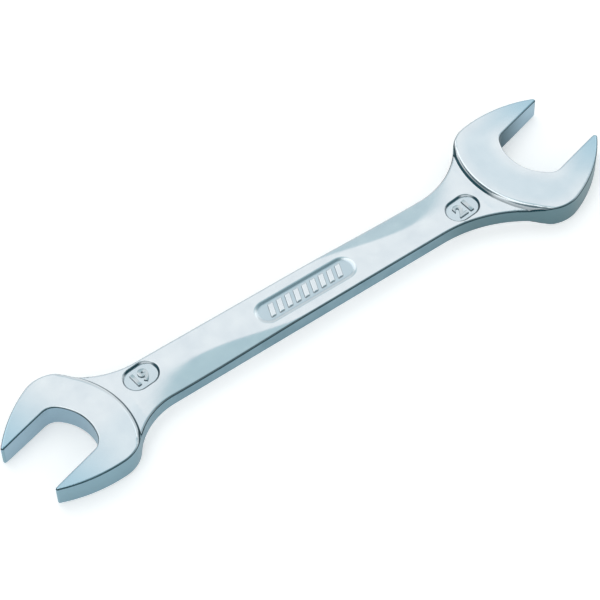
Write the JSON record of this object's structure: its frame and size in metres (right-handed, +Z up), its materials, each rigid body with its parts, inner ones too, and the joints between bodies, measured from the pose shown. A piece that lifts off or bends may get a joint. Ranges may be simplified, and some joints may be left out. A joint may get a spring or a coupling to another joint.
{
  "type": "double open end wrench",
  "caption": "Flat chromed spanner with an open jaw at each end of a straight shank, for turning hexagon nuts and bolt heads from the side.",
  "frame": {"origin": "middle of the wrench's outline in plan, at the underside of the two heads", "axes": "+X along the shank towards the large jaw, +Z up out of the upper face, +Y across the shank"},
  "size_m": [0.2002, 0.0418, 0.0075],
  "materials": {
    "chrome_plate": "polished chromium plate over forged steel, slightly satin on the shank"
  },
  "bodies": {
    "root": {"small_jaw_head": "chrome_plate", "shank": "chrome_plate", "large_jaw_head": "chrome_plate"}
  },
  "joints": []
}
